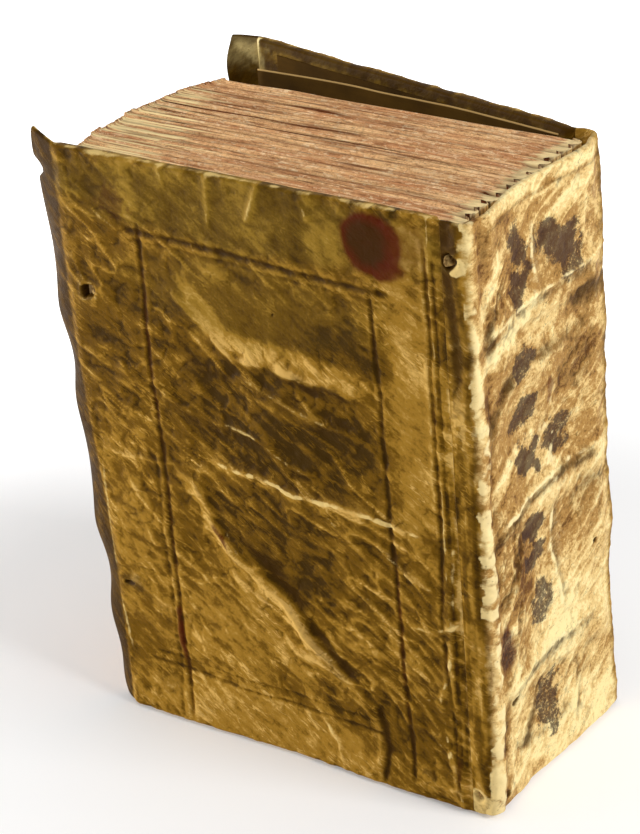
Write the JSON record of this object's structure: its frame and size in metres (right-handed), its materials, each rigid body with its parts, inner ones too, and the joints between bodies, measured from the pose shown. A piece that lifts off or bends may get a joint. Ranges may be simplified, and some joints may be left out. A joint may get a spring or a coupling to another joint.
{
  "type": "antique book",
  "caption": "Thick old book in a limp vellum cover, standing on its tail, with turned-over fore-edge flaps, raised bands on the spine and two hinged covers.",
  "frame": {"origin": "middle of the tail of the leaves, on the surface that the book stands on", "axes": "+Z from tail to head, +X towards the spine, -Y towards the back cover"},
  "size_m": [0.137, 0.0917, 0.1728],
  "materials": {
    "leaves": "aged, worn, toned rag paper edges",
    "spine_vellum": "pale worn vellum with brown stains and faded ink",
    "cover_vellum": "golden brown creased vellum, slightly glossy",
    "board": "plain layered paper board",
    "pasted_paper": "brown-stained pasted paper",
    "thong": "matte alum-tawed skin, frayed"
  },
  "bodies": {
    "book_block": {"text_block": "leaves", "flyleaf": "leaves", "spine_skin": "spine_vellum", "lower_sewing_support": "thong", "middle_sewing_support": "thong", "upper_sewing_support": "thong", "head_endband_thong": "thong", "tail_endband_thong": "thong"},
    "back_cover": {"back_cover_skin": "cover_vellum", "back_board": "board", "back_pastedown": "pasted_paper", "back_lower_slip": "thong", "back_middle_slip": "thong", "back_upper_slip": "thong", "back_lower_tie_end": "thong", "back_upper_tie_end": "thong"},
    "front_cover": {"front_cover_skin": "cover_vellum", "front_board": "board", "front_pastedown": "pasted_paper", "front_lower_slip": "thong", "front_middle_slip": "thong", "front_upper_slip": "thong"}
  },
  "joints": [
    {"name": "back_cover_joint", "type": "hinge", "parent": "book_block", "child": "back_cover", "pos_m": [0.056, -0.03295, 0], "axis": [0, 0, 1], "range_deg": [0, 150]},
    {"name": "front_cover_joint", "type": "hinge", "parent": "book_block", "child": "front_cover", "pos_m": [0.056, 0.03295, 0], "axis": [0, 0, -1], "range_deg": [-12, 138], "deforming": ["flyleaf"]}
  ]
}
